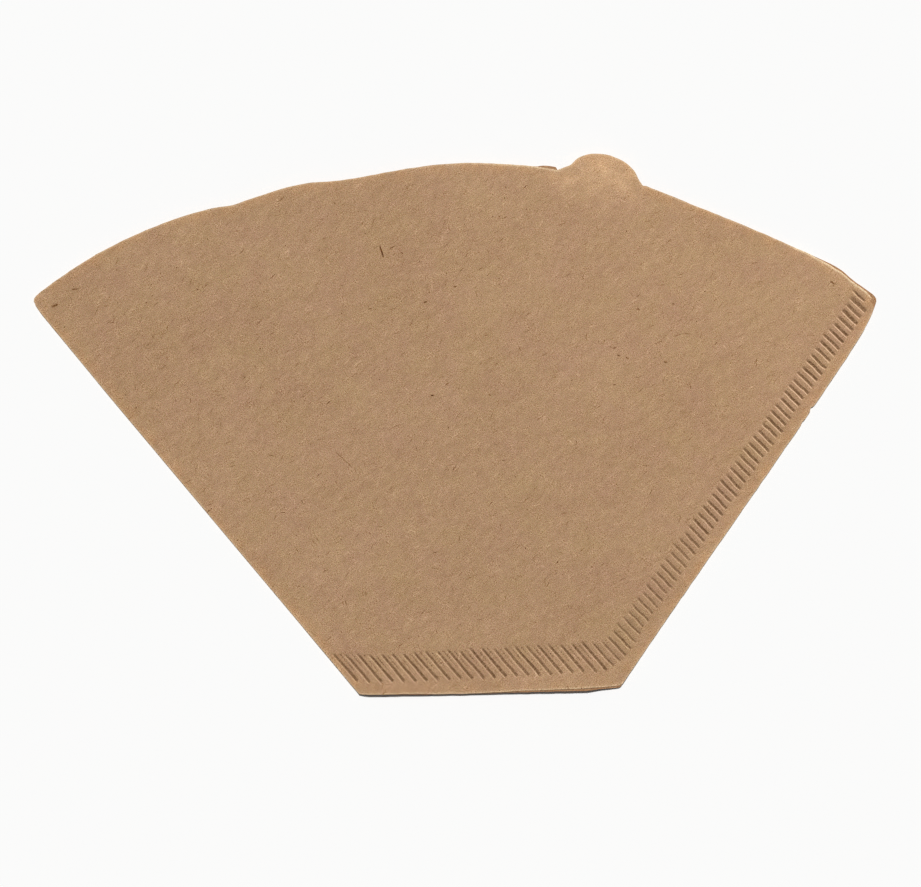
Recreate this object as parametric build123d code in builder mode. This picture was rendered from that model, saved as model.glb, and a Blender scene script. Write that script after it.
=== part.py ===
from build123d import *
import math
import os

os.makedirs("parts", exist_ok=True)

# A wedge-shaped paper coffee filter, lying flat as it comes out of its box: one sheet, folded once
# and crimped along two edges. It lies on its back ply. +X runs along the bottom edge, +Y from that
# edge to the mouth and +Z up. Points of the outline are taken from the middle of the bottom edge.
# All lengths are millimetres and all angles degrees.

# Sheet
paper = 0.2               # thickness of one ply

# Outline of the folded filter
base_length = 50.7        # bottom edge
fold_lean = 51.0          # between the bottom edge and the fold, on the left
fold_length = 101.4       # fold, from the bottom edge to the mouth
seam_lean = 54.3          # between the bottom edge and the side seam, on the right
seam_straight = 74.0      # straight stretch of the side seam's cut edge
bend_length = 18.0        # last stretch of that edge, bent in towards the mouth
bend_turn = 4.8           # how far the chord of that stretch leans in
mouth_height = 103.5      # middle of the mouth's edge above the bottom edge
back_overhang = 0.5       # back ply's mouth edge beyond the front ply's

# Rounded corner where the fold meets the mouth
corner_run = 2.0          # taken off each side of the corner
corner_bulge = 0.45       # height of the rounded corner over its chord

# Thumb tab on the front ply
tab_place = 120.5         # middle of the tab from the fold, along the mouth's edge
tab_radius = 9.4
tab_proud = 5.8           # rise of the tab above the mouth's edge

# Pocket between the plies
mouth_opening = 1.6       # gap between the plies at the middle of the mouth
pressed_gap = 0.03        # gap where the pocket begins, at the bottom seam

# Crimped seams, with bands and marks taken from their cut edges
bottom_band = 9.4         # width pressed together along the bottom edge
side_band = 7.6           # width pressed together along the side seam
bottom_marks_from = 2.8
bottom_marks_to = 8.7
bottom_pitch = 2.26       # from mark to mark along the bottom edge
bottom_inset = 1.85       # first mark from the fold, along the bottom edge
side_marks_from = 2.4
side_marks_to = 6.9
side_pitch = 1.55         # from mark to mark along the side seam
side_first = 3.8          # first mark from the bottom edge, along the middle of the marks
side_turn = 79.3          # between the side seam's edge and its marks
mark_width = 0.6
mark_depth = 0.12

# Two nicks in the side seam's cut edge
nick_places = (63.9, 67.1)
nick_radius = 0.6
nick_depth = 0.35

blank_margin = 6.0        # paper of the uncut blank beyond the outline
cut_margin = 1.0          # how far a cutting shape stands clear of the paper


def direction(degrees):
    return Vector(math.cos(math.radians(degrees)), math.sin(math.radians(degrees)))


fold_way = direction(180 - fold_lean)
seam_way = direction(seam_lean)
seam_inward = direction(seam_lean + 90)
fold_foot = Vector(-base_length / 2, 0)
seam_foot = Vector(base_length / 2, 0)
fold_corner = fold_foot + fold_way * fold_length
bend_start = seam_foot + seam_way * seam_straight
seam_corner = bend_start + direction(seam_lean + bend_turn) * bend_length
bend_end_way = direction(seam_lean + 2 * bend_turn)
blank_end = mouth_height + tab_proud + blank_margin
blank_reach = fold_length + base_length


def mouth_edge(overhang):
    # Cut edge of one ply at the mouth, from the fold to the side seam
    middle = Vector((fold_corner.X + seam_corner.X) / 2, mouth_height + overhang)
    return ThreePointArc(fold_corner, middle, seam_corner + bend_end_way * overhang)


def beyond_mouth(overhang):
    # What is cut off one ply past its mouth edge
    with BuildSketch(mode=Mode.PRIVATE) as waste:
        with BuildLine():
            edge = mouth_edge(overhang)
            left = edge @ 0 - (edge % 0) * blank_margin
            right = edge @ 1 + (edge % 1) * blank_margin
            Polyline(edge @ 0, left, left + fold_way * blank_reach)
            Polyline(edge @ 1, right, right + seam_way * blank_reach, left + fold_way * blank_reach)
        make_face()
    return waste.sketch


# Thumb tab
front_edge = mouth_edge(0)
tab_root = front_edge.position_at(tab_place, position_mode=PositionMode.LENGTH)
tab_along = front_edge.tangent_at(tab_place, position_mode=PositionMode.LENGTH)
tab_centre = tab_root + Vector(-tab_along.Y, tab_along.X) * (tab_proud - tab_radius)

# Rounded corner where the fold meets the mouth
corner_low = fold_corner - fold_way * corner_run
corner_high = front_edge.position_at(corner_run, position_mode=PositionMode.LENGTH)
corner_middle = (corner_low + corner_high) * 0.5
corner_outward = (fold_corner - corner_middle).normalized()

# Nicks, cut by small circles that stand out of the seam's edge
nick_outset = nick_radius - nick_depth
nick_centres = [seam_foot + seam_way * place - seam_inward * nick_outset for place in nick_places]

# What is cut off the front ply at the mouth, where the tab stays
with BuildSketch() as front_waste:
    add(beyond_mouth(0))
    with Locations(tab_centre):
        Circle(tab_radius, mode=Mode.SUBTRACT)

# What is cut off the back ply at the mouth
with BuildSketch() as back_waste:
    add(beyond_mouth(back_overhang))

# What is cut off both plies: below the bottom edge, past the side seam, at the corner and the nicks
with BuildSketch() as side_waste:
    with Locations((0, -blank_margin)):
        Rectangle(2 * blank_reach, 2 * blank_margin)
    with BuildLine():
        TangentArc(bend_start, seam_corner, tangent=seam_way)
        far = seam_corner + bend_end_way * blank_reach
        Polyline(seam_corner, far, far + Vector(blank_reach, 0), seam_foot + Vector(blank_reach, 0))
        Polyline(seam_foot + Vector(blank_reach, 0), seam_foot, bend_start)
    make_face()
    with BuildLine():
        ThreePointArc(corner_low, corner_middle + corner_outward * corner_bulge, corner_high)
        clear = corner_outward * (corner_run + cut_margin)
        Polyline(corner_high, corner_high + clear, corner_low + clear, corner_low)
    make_face()
    with Locations(*nick_centres):
        Circle(nick_radius)

# Whole outline, whose box sets the origin under the middle of the filter
with BuildSketch() as outline:
    fold_end = fold_foot + fold_way * blank_reach
    seam_end = seam_foot + seam_way * blank_reach
    Polygon(fold_foot, fold_end, seam_end, seam_foot, align=None)
    add(back_waste.sketch, mode=Mode.SUBTRACT)
    with Locations(tab_centre):
        Circle(tab_radius)
    add(side_waste.sketch, mode=Mode.SUBTRACT)

centre = outline.sketch.bounding_box().center()
table = Plane(origin=(-centre.X, -centre.Y, 0))


def cross_plane(distance):
    # Upright plane across the filter, at a distance from the bottom edge
    return Plane(origin=table.from_local_coords((0, distance, 0)), x_dir=(1, 0, 0), z_dir=(0, -1, 0))


def fold_x(distance):
    return fold_foot.X - distance / math.tan(math.radians(fold_lean))


def seam_x(distance):
    return seam_foot.X + distance / math.tan(math.radians(seam_lean))


def front_arch(distance, height):
    # Section of the front ply's arch over the pocket, from the fold to the side seam's band
    grown = (distance - bottom_band) / (mouth_height - bottom_band)
    gap = max(pressed_gap, mouth_opening * grown)
    left = fold_x(distance) + paper
    right = seam_x(distance) - side_band / math.sin(math.radians(seam_lean))
    return ThreePointArc((left, height), ((left + right) / 2, height + gap), (right, height))


def mark_plane(start, way, height):
    # Upright plane square to a crimp mark, at the point where the mark starts
    origin = table.from_local_coords((start.X, start.Y, height))
    return Plane(origin=origin, x_dir=(-way.Y, way.X, 0), z_dir=way)


def mark_section(side):
    # V of a crimp mark, pressed down into the top face (side 1) or up into the underside (side -1)
    half = mark_width / 2 * (mark_depth + cut_margin) / mark_depth
    Polygon((-half, side * cut_margin), (half, side * cut_margin), (0, -side * mark_depth), align=None)


# Marks of the bottom seam, parallel to the fold
bottom_mark_length = (bottom_marks_to - bottom_marks_from) / math.sin(math.radians(fold_lean))
bottom_mark_count = int(base_length / bottom_pitch) + 1


def bottom_mark_planes(height, shift):
    first = Vector(fold_x(bottom_marks_from) + bottom_inset + shift, bottom_marks_from)
    starts = [first + Vector(number * bottom_pitch, 0) for number in range(bottom_mark_count)]
    return [mark_plane(start, fold_way, height) for start in starts]


# Marks of the side seam, which lean from its cut edge up towards the mouth
side_mark_way = direction(seam_lean + side_turn)
side_mark_length = (side_marks_to - side_marks_from) / math.sin(math.radians(side_turn))
side_mark_count = int((seam_straight + bend_length - side_first) / side_pitch) + 1


def side_mark_planes(height, shift):
    middle = seam_foot + seam_way * (side_first + shift) + seam_inward * (side_marks_from + side_marks_to) / 2
    first = middle - side_mark_way * side_mark_length / 2
    starts = [first + seam_way * side_pitch * number for number in range(side_mark_count)]
    return [mark_plane(start, side_mark_way, height) for start in starts]


with BuildPart() as paper_filter:
    # Blank: the back ply, the round fold, the arched front ply and the seams, solid at first
    for distance in (-blank_margin, bottom_band, blank_end):
        with BuildSketch(cross_plane(distance)):
            with BuildLine():
                arch = front_arch(distance, 2 * paper)
                outer_x = seam_x(distance) + blank_margin
                ThreePointArc((fold_x(distance) + paper, 0), (fold_x(distance), paper), arch @ 0)
                Polyline(arch @ 1, (outer_x, 2 * paper), (outer_x, 0), (fold_x(distance) + paper, 0))
            make_face()
    loft(ruled=True)

    # Pocket between the plies, open at the mouth
    for distance in (bottom_band, blank_end):
        with BuildSketch(cross_plane(distance)):
            with BuildLine():
                arch = front_arch(distance, paper)
                Line(arch @ 1, arch @ 0)
            make_face()
    loft(ruled=True, mode=Mode.SUBTRACT)

    # Edges cut through both plies, then the mouth edge of each ply, split at the back ply's top face
    with BuildSketch(table.offset(-cut_margin)):
        add(side_waste.sketch)
    extrude(amount=2 * cut_margin + 2 * paper + 2 * mouth_opening, mode=Mode.SUBTRACT)
    with BuildSketch(table.offset(paper)):
        add(front_waste.sketch)
    extrude(amount=cut_margin + paper + 2 * mouth_opening, mode=Mode.SUBTRACT)
    with BuildSketch(table.offset(paper)):
        add(back_waste.sketch)
    extrude(amount=-cut_margin - paper, mode=Mode.SUBTRACT)

    # Crimp marks that toothed rollers leave in both faces, those below halfway between those above
    for height, side, share in ((2 * paper, 1, 0), (0, -1, 0.5)):
        with BuildSketch(*bottom_mark_planes(height, share * bottom_pitch)):
            mark_section(side)
        extrude(amount=bottom_mark_length, mode=Mode.SUBTRACT)
        with BuildSketch(*side_mark_planes(height, share * side_pitch)):
            mark_section(side)
        extrude(amount=side_mark_length, mode=Mode.SUBTRACT)

paper_filter.part.label = "paper_filter"
export_step(paper_filter.part, "parts/paper_filter.step")
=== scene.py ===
import math

import bpy
import numpy as np
from mathutils.geometry import delaunay_2d_cdt
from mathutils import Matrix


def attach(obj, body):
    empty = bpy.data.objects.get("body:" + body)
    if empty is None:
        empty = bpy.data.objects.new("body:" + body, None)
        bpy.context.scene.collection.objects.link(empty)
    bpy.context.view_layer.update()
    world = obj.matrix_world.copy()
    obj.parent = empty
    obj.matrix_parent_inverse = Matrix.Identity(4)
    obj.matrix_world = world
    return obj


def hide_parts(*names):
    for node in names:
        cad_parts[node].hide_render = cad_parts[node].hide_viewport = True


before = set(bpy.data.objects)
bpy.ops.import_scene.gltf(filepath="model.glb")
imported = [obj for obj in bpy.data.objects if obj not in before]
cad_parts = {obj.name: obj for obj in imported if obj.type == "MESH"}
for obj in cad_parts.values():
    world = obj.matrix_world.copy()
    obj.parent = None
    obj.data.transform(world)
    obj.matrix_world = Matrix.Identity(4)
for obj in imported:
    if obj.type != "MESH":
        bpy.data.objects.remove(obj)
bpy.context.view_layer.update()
print("frame loaded")

# Lengths are millimetres and places start at the middle of the bottom edge, with +y to the mouth
mm = 0.001
random = np.random.default_rng(11)

outlineCut = {
    "baseLength": 50.7,
    "foldLean": 51.0,  # between the bottom edge and the fold, on the left
    "foldLength": 99.5,  # where the fold gives way to the blunt corner
    "foldStart": 0.12,  # and where its first point lies over the foot
    "foldInward": ((0, 0.05), (3, 0.0), (76, 0.05), (84, 0.13), (92, 0.2), (97, 0.25), (99.5, 0.44)),
    "leftTip": ((-87.88, 78.4), (-87.8, 78.93), (-87.42, 79.42)),
    "seamLean": 54.3,  # between the bottom edge and the side seam, on the right
    "seamInward": ((0, 0.0), (30, 0.04), (61, 0.0), (63.2, 0.02), (63.9, 0.2), (64.6, 0.04), (66.4, 0.05),
                   (67.1, 0.38), (67.8, 0.05), (74, 0.1), (80, 0.2), (85, 0.43), (88, 0.78), (91, 1.36)),
    "seamEnd": 90.6,  # where the seam's cut edge gives way to the corner
    "seamLow": 1.6,  # and to the foot
    "frontSeamShort": 1.0,  # the front ply's seam ends earlier and stands out a little
    "frontSeamInset": -0.03,
    "backTip": ((77.22, 76.35), (77.5, 75.9), (77.55, 75.37)),
    "frontTip": ((76.4, 76.35), (76.8, 76.0), (76.2, 75.3), (76.75, 74.75), (77.0, 74.3)),
    "mouthHeight": 103.5,
    "arcFold": 101.4,  # the mouth's arc starts here along the fold
    "arcSeam": 74.0,  # and ends here along the seam, then arcBend further at arcTurn
    "arcBend": 18.0,
    "arcTurn": 4.8,
    "mouthStart": 2.9,  # along the mouth's arc from the fold
    "frontEnd": 175.4,
    "backEnd": 176.5,
    # along that arc, how far the cut edges stand past it
    "frontLift": ((0, -0.5), (6, -0.12), (12, 0.14), (18, 0.28), (30, 0.05), (36, -0.25), (41, -0.7),
                  (45, -1.3), (51, -1.05), (57, -0.75), (60.5, -0.82), (64, -1.23), (67.5, -1.4),
                  (72, -1.23), (78, -0.7), (84, -0.12), (87, 0.12), (93, 0.42), (98, 0.5), (102, 0.56),
                  (105, 0.6), (109.5, 0.45)),
    "frontLiftRight": ((126.1, 0.75), (127, 0.93), (129, 0.72), (132, 0.5), (138, 0.06), (144, -0.03),
                       (151, 0.07), (157, 0.28), (162, 0.6), (168.5, 0.7), (171, 0.38), (174, 0.17),
                       (176, 0.1)),
    "backLift": ((0, -0.55), (6, -0.16), (12, 0.12), (18, 0.22), (30, 0.0), (36, -0.31), (45, -1.37),
                 (51, -1.1), (57, -0.75), (64, -1.28), (72, -1.3), (78, -0.75), (87, 0.05), (93, 0.35),
                 (98, 0.5), (102, 0.66), (105.3, 0.82), (106.6, 1.16), (108.4, 1.26), (109.35, 1.2),
                 (109.8, 0.3), (113, -0.8), (120, 0.0), (126, 0.75), (132, 0.44), (138, 0.08), (144, -0.1),
                 (151, 0.12), (157, 0.35), (162, 0.7), (166, 1.04), (168.5, 1.07), (171, 0.68), (174, 0.5),
                 (178, 0.43)),
    "tabFrom": 109.0,  # the tab's own points stand between these places on the arc
    "tabTo": 126.4,
    "tab": ((15.2, 102.07), (16.28, 102.41), (17.87, 103.08), (19.46, 104.42), (21.04, 105.03),
            (23.2, 105.22), (25.74, 104.78), (28.86, 103.21), (30.4, 101.66), (31.25, 99.93), (31.85, 99.0)),
    # along the bottom edge, the height of each ply's cut edge
    "frontBase": ((-26, 0.14), (-24, 0.12), (-21.3, 0.07), (-17.4, 0.08), (-15, 0.15), (-13.4, 0.07),
                  (-10.3, -0.05), (-7.2, -0.05), (-2.5, -0.04), (0.7, 0.06), (3.8, 0.16), (5.4, 0.28),
                  (10.3, 0.37), (14.2, 0.49), (18.1, 0.56), (22.1, 0.72), (26, 0.92)),
    "backBase": ((-26, 0.08), (-24, 0.05), (-21.3, 0.0), (-17.4, -0.02), (-13.4, -0.1), (-10.3, -0.15),
                 (-2.5, -0.12), (0.7, -0.1), (3.8, -0.03), (10.3, 0.03), (14.2, 0.06), (18.1, 0.04),
                 (22.1, 0.34), (26, 0.52)),
    "baseSpan": (25.2, -25.0),  # from the right foot to the fold's
    "footPlace": 25.8,  # where the rounded right foot takes the edge's height
    "foot": ((25.9, 0.4, 0.35), (25.75, 0, 0.05)),  # x, slant and rise over that height
    "step": 0.6,  # between points along an edge
    "seamStep": 0.4,
    "tabStep": 0.35,
    "ragged": 0.022,  # how far a cut edge wavers
    "raggedLength": 1.2,
}


def heading(degrees):
    return np.array((math.cos(math.radians(degrees)), math.sin(math.radians(degrees))))


def turned(way):
    # A quarter turn to the left
    return np.array((-way[1], way[0]))


def lengths(vectors):
    return np.linalg.norm(vectors, axis=1)


def smoothStep(value):
    value = np.clip(value, 0, 1)
    return value * value * (3 - 2 * value)


def curve(at, value, slope, place):
    # Curve with given values and slopes at its knots
    left = np.clip(np.searchsorted(at, place, side="right") - 1, 0, len(at) - 2)
    span = at[left + 1] - at[left]
    part = np.clip((place - at[left]) / span, 0, 1)
    start = value[left] * (1 + 2 * part) + slope[left] * span * part
    end = value[left + 1] * (3 - 2 * part) + slope[left + 1] * span * (part - 1)
    return start * (1 - part) ** 2 + end * part ** 2


def smoothCurve(at, value, place):
    # Curve through the values that never overshoots them
    rise = np.diff(value) / np.diff(at)
    product = np.maximum(rise[:-1] * rise[1:], 0)
    total = rise[:-1] + rise[1:]
    inner = 2 * product / np.where(product > 0, total, 1)
    return curve(at, value, np.concatenate((rise[:1], inner, rise[-1:])), place)


def throughKnots(knots, place):
    # The same for (place, value) pairs
    return smoothCurve(*np.array(knots, float).T, place)


def runAlong(line):
    return np.concatenate(([0], np.cumsum(lengths(np.diff(line, axis=0)))))


def smoothLine(points, step):
    points = np.asarray(points, float)
    run = runAlong(points)
    at = np.linspace(0, run[-1], max(2, int(round(run[-1] / step)) + 1))
    both = [curve(run, points[:, axis], np.gradient(points[:, axis], run), at) for axis in (0, 1)]
    return np.column_stack(both)


def circleThrough(a, b, c):
    rows = np.array((b - a, c - a)) * 2
    centre = np.linalg.solve(rows, (b @ b - a @ a, c @ c - a @ a))
    return centre, np.linalg.norm(a - centre)


# The fold, the seam and the mouth's arc that the edges follow
foldFoot = np.array((-outlineCut["baseLength"] / 2, 0.0))
seamFoot = np.array((outlineCut["baseLength"] / 2, 0.0))
foldWay = heading(180 - outlineCut["foldLean"])
foldInward = heading(90 - outlineCut["foldLean"])
seamWay = heading(outlineCut["seamLean"])
seamInward = heading(outlineCut["seamLean"] + 90)
arcBendWay = heading(outlineCut["seamLean"] + outlineCut["arcTurn"])
arcLeft = foldFoot + foldWay * outlineCut["arcFold"]
arcRight = seamFoot + seamWay * outlineCut["arcSeam"] + arcBendWay * outlineCut["arcBend"]
arcTop = np.array(((arcLeft[0] + arcRight[0]) / 2, outlineCut["mouthHeight"]))
arcCentre, arcRadius = circleThrough(arcLeft, arcTop, arcRight)
arcStart = math.atan2(*(arcLeft - arcCentre)[::-1])


def alongFold(place, inset=0.0):
    inward = throughKnots(outlineCut["foldInward"], place) + inset
    return foldFoot + np.outer(place, foldWay) + np.outer(inward, foldInward)


def alongSeam(place, inset=0.0):
    inward = throughKnots(outlineCut["seamInward"], place) + inset
    return seamFoot + np.outer(place, seamWay) + np.outer(inward, seamInward)


def alongMouth(place, lift):
    angle = arcStart - place / arcRadius
    return arcCentre + (arcRadius + lift)[:, None] * np.column_stack((np.cos(angle), np.sin(angle)))


def pastMouth(xy):
    # How far points lie past the mouth's arc
    return lengths(xy - arcCentre) - arcRadius


def mouthRun(knots, start, end):
    place = np.arange(start, end, outlineCut["step"])
    return alongMouth(place, throughKnots(knots, place))


def wavered(line):
    # Small uneven waver across a cut edge
    run = runAlong(line)
    length = outlineCut["raggedLength"]
    knots = np.arange(0, run[-1] + 2 * length, length)
    shift = smoothCurve(knots, random.normal(0, outlineCut["ragged"], len(knots)), run)
    way = np.gradient(line, axis=0)
    way /= lengths(way)[:, None]
    return line + np.column_stack((-way[:, 1], way[:, 0])) * shift[:, None]


def plyOutline(front):
    # Cut edge of one ply, from the fold's end at the mouth round to its foot
    form = outlineCut
    seamHigh = form["seamEnd"]
    if front:
        left = mouthRun(form["frontLift"], form["mouthStart"], form["tabFrom"])
        tab = smoothLine(form["tab"], form["tabStep"])
        right = mouthRun(form["frontLiftRight"], form["tabTo"], form["frontEnd"])
        mouth = np.vstack((left, tab, right))
        tip = form["frontTip"]
        seamHigh -= form["frontSeamShort"]
        seamInset = form["frontSeamInset"]
        base = form["frontBase"]
    else:
        mouth = mouthRun(form["backLift"], form["mouthStart"], form["backEnd"])
        tip = form["backTip"]
        seamInset = 0.0
        base = form["backBase"]
    seam = alongSeam(np.arange(seamHigh, form["seamLow"], -form["seamStep"]), seamInset)
    footHigh = throughKnots(base, form["footPlace"])
    foot = np.array([(x + footHigh * slant, footHigh + rise) for x, slant, rise in form["foot"]])
    baseX = np.arange(*form["baseSpan"], -form["step"])
    bottom = np.column_stack((baseX, throughKnots(base, baseX)))
    return wavered(np.vstack((form["leftTip"], mouth, tip, seam, foot, bottom)))


def insetLine(line, inset):
    # Closed line moved inwards (the outline runs clockwise)
    sharpest = 0.3  # keeps the points of a sharp corner from moving too far
    before = line - np.roll(line, 1, axis=0)
    after = np.roll(line, -1, axis=0) - line
    way = before / lengths(before)[:, None] + after / lengths(after)[:, None]
    way /= np.maximum(lengths(way), sharpest)[:, None]
    return line + np.column_stack((way[:, 1], -way[:, 0])) * inset


def distanceTo(points, line):
    # Shortest distance from each point to an open line
    best = np.full(len(points), 1e9)
    for a, b in zip(line[:-1], line[1:]):
        span = b - a
        part = np.clip((points - a) @ span / max(span @ span, 1e-12), 0, 1)
        best = np.minimum(best, lengths(points - a - part[:, None] * span))
    return best


def inside(points, loop):
    # Which points lie inside a closed line
    hit = np.zeros(len(points), bool)
    for a, b in zip(loop, np.roll(loop, -1, axis=0)):
        crosses = (a[1] > points[:, 1]) != (b[1] > points[:, 1])
        if crosses.any():
            at = a[0] + (points[crosses, 1] - a[1]) / (b[1] - a[1]) * (b[0] - a[0])
            hit[crosses] ^= points[crosses, 0] < at
    return hit


crimps = {
    "bottomCount": 23,
    "bottomFirst": (-27.26, 4.6),  # where the first mark crosses the middle height
    "bottomPitch": 2.269,
    "bottomWay": 129.8,
    # heights of the marks' ends over the base line, by where the mark crosses its middle height
    "bottomLow": ((-27.3, 2.45), (-8, 2.55), (-2, 2.8), (8, 3.15), (23, 3.75)),
    "bottomHigh": ((-27.3, 8.2), (-18, 8.05), (-9, 8.4), (3, 8.9), (13, 9.2), (23, 9.6)),
    "bottomStrength": (0.85, 1.05),
    "sideCount": 57,
    "sideFirst": 3.9,  # along the seam, measured at sideInset from its edge
    "sidePitch": 1.615,
    "sideTighten": 0.00115,  # the marks draw closer together towards the mouth
    "sideInset": 5.1,
    "sideLow": ((0, 3.2), (1, 2.7), (2, 2.4), (3, 2.5), (9, 2.6), (45, 2.2), (55, 2.2), (56, 3.5)),
    "sideHigh": ((0, 9.4), (1, 8.2), (3, 7.6), (9, 7.4), (45, 6.5), (55, 6.4), (56, 6.9)),
    "sideLean": (12.3, 8.9),  # from square to the seam, at the bottom and at the mouth
    "lastShift": 0.12,  # the last one lies closer to the one before
    "footCount": 18,  # so many side marks from the foot are weaker
    "footStrength": (0.68, 0.88),
    "sideStrength": (0.85, 1.06),
    "bottomUneven": 0.05,  # how far the marks stray from their places
    "sideUneven": 0.04,
    "endUneven": (0.1, 0.12),  # at the outer and the inner end
    "depth": 0.19,
    # across a mark, from its lower left: place, height, and how dark it is painted, which is the pressed
    # paper's own darkening together with painted shade in the groove, and below zero a painted highlight on
    # its lit edge
    "section": ((-0.54, 0, 0), (-0.45, 0.12, -0.8), (-0.33, 0.06, -1.0), (-0.25, -0.6, 0.3),
                (-0.17, -1.0, 0.95), (0.04, -0.8, 0.95), (0.19, -0.45, 0.9), (0.28, -0.18, 0.45),
                (0.36, 0, 0)),
    "station": 0.65,  # between points along a mark, and the last ones at its ends
    "stationEnds": (0.25, 0.55),
    "waver": 0.035,  # how far a mark wavers, and how much more a thin one does
    "thinWaver": 0.06,
    "widthWaver": 0.07,
    "waverKnots": 5,
    # width of the dark part of the bottom marks, at the inner and the outer end
    "bottomWidth": (0.6, 1.12),
    "bottomRidge": 0.7,  # how bright the painted highlight on a mark's edge is
    # the painted highlight on the side marks' edges, along the side, by the mark's number from the foot
    "sideRidge": ((0, 0.7), (18, 0.82), (30, 1.15), (38, 1.6), (56, 1.45)),
    # width of the dark part of the side marks
    "sideWidth": ((0, 0.3), (1, 0.45), (2, 0.7), (3, 0.6), (4, 0.5), (5, 0.2), (6, 0.25), (7, 0.4),
                  (8, 0.62), (12, 0.7), (20, 0.85), (50, 0.95), (52, 1.3), (53, 1.5), (54, 1.4), (55, 2.0),
                  (56, 0.35)),
    "endFade": (0.8, 0.3),  # at the inner and the outer end
    # dotted rows between the marks, where the other ply's marks show as shallow dents, darkened as pressed
    # paper with painted shade
    "faintDark": 1.7,
    "faintDepth": 0.25,  # of the depth that so dark a mark would have
    "faintWidth": 0.18,
    "faintSpan": (-0.2, 5.4),  # along the mark, from its inner end
    "faintStep": 0.26,
    "faintShift": 0.04,
    "faintPower": (0.25, 1.0),
    "faintBetween": 0.2,  # how dark the paper between the dots is
    "faintFade": 2.0,
}


def crimpMarks():
    # (inner end, outer end, strength, widths at both ends, strength of the painted highlight on its edge) of
    # every crimp mark
    form = crimps
    marks = []
    way = heading(form["bottomWay"])
    lowUneven, highUneven = form["endUneven"]
    for number in range(form["bottomCount"]):
        place = number * form["bottomPitch"] + random.normal(0, form["bottomUneven"])
        middle = np.array(form["bottomFirst"]) + (place, 0)
        low = throughKnots(form["bottomLow"], middle[0]) + random.normal(0, lowUneven)
        high = throughKnots(form["bottomHigh"], middle[0]) + random.normal(0, highUneven)
        ends = [middle + way * (height - middle[1]) / way[1] for height in (high, low)]
        strength = random.uniform(*form["bottomStrength"])
        marks.append((*ends, strength, form["bottomWidth"], form["bottomRidge"]))
    for number in range(form["sideCount"]):
        place = form["sideFirst"] + form["sidePitch"] * number - form["sideTighten"] * number ** 2
        if number == form["sideCount"] - 1:
            place -= form["lastShift"]
        part = number / form["sideCount"]
        lean = form["sideLean"][0] * (1 - part) + form["sideLean"][1] * part
        way = heading(outlineCut["seamLean"] + 90 - lean)
        across = math.cos(math.radians(lean))
        place += random.normal(0, form["sideUneven"])
        middle = seamFoot + seamWay * place + seamInward * form["sideInset"]
        low = throughKnots(form["sideLow"], number) + random.normal(0, lowUneven)
        high = throughKnots(form["sideHigh"], number) + random.normal(0, highUneven)
        ends = [middle + way * (inset - form["sideInset"]) / across for inset in (high, low)]
        strengths = form["footStrength"] if number < form["footCount"] else form["sideStrength"]
        width = throughKnots(form["sideWidth"], number)
        ridgeHighlight = throughKnots(form["sideRidge"], number)
        marks.append((*ends, random.uniform(*strengths), (width, width), ridgeHighlight))
    return marks


def rowsAlong(start, way, stations, rows):
    # Rows of points beside a line; each row is its places across, heights and darkness
    points = np.vstack([start + np.outer(stations, way) + np.outer(row[0], turned(way)) for row in rows])
    heights, values = (np.concatenate([row[part] for row in rows]) for part in (1, 2))
    count = len(stations)
    edges = [(at, at + 1) for at in range(len(rows) * count) if (at + 1) % count]
    return points, heights, values, edges


def markPoints(inner, outer, strength, widths, ridgeHighlight):
    # Rows of points along one crimp mark, with their height and how dark it is painted there: pressed paper
    # with painted shade in the groove, and a painted highlight on its edge
    form = crimps
    length = np.linalg.norm(outer - inner)
    near, far = form["stationEnds"]
    count = int(round((length - 2 * far) / form["station"]))
    between = np.linspace(far, length - far, count + 1)
    stations = np.concatenate(((0, near), between, (length - near, length)))
    knotCount = form["waverKnots"]
    knots = np.linspace(0, length, knotCount)
    waver = form["waver"] + form["thinWaver"] * (1 - min(widths[1], 1.0))
    shifts = random.normal(0, waver, knotCount)
    widenings = random.normal(1, form["widthWaver"], knotCount)
    wobble = smoothCurve(knots, shifts, stations)
    width = smoothCurve(knots, widenings, stations)
    width *= widths[0] + (widths[1] - widths[0]) * smoothStep(stations / length)
    innerFade, outerFade = form["endFade"]
    fade = smoothStep(stations / innerFade) * smoothStep((length - stations) / outerFade)
    depth = fade * strength * form["depth"]
    rows = []
    for offset, height, dark in form["section"]:
        place = offset * (width if offset > 0 else 1) + wobble
        pressed = dark * (ridgeHighlight if dark < 0 else 1) * depth / form["depth"]
        rows.append((place, height * depth, pressed))
    return rowsAlong(inner, (outer - inner) / length, stations, rows)


def faintPoints(markA, markB):
    # Dotted row halfway between two marks: shallow dents darkened as pressed paper with painted shade
    form = crimps
    inner = (markA[0] + markB[0]) / 2 + random.normal(0, form["faintShift"], 2)
    way = (markA[1] - markA[0]) / np.linalg.norm(markA[1] - markA[0])
    start, end = form["faintSpan"]
    stations = np.arange(start, end, form["faintStep"])
    between = form["faintBetween"]
    dots = between + (1 - between) * (np.arange(len(stations)) % 2)
    power = random.uniform(*form["faintPower"], len(stations)) * dots
    power *= smoothStep(stations - start) * smoothStep((end - stations) / form["faintFade"])
    rows = []
    for offset, share in ((-1, 0), (0, 1), (1, 0)):
        strength = power * share * form["faintDark"]
        place = np.full(len(stations), offset * form["faintWidth"])
        rows.append((place, -strength * form["faintDepth"] * form["depth"], strength))
    return rowsAlong(inner, way, stations, rows)


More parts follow.
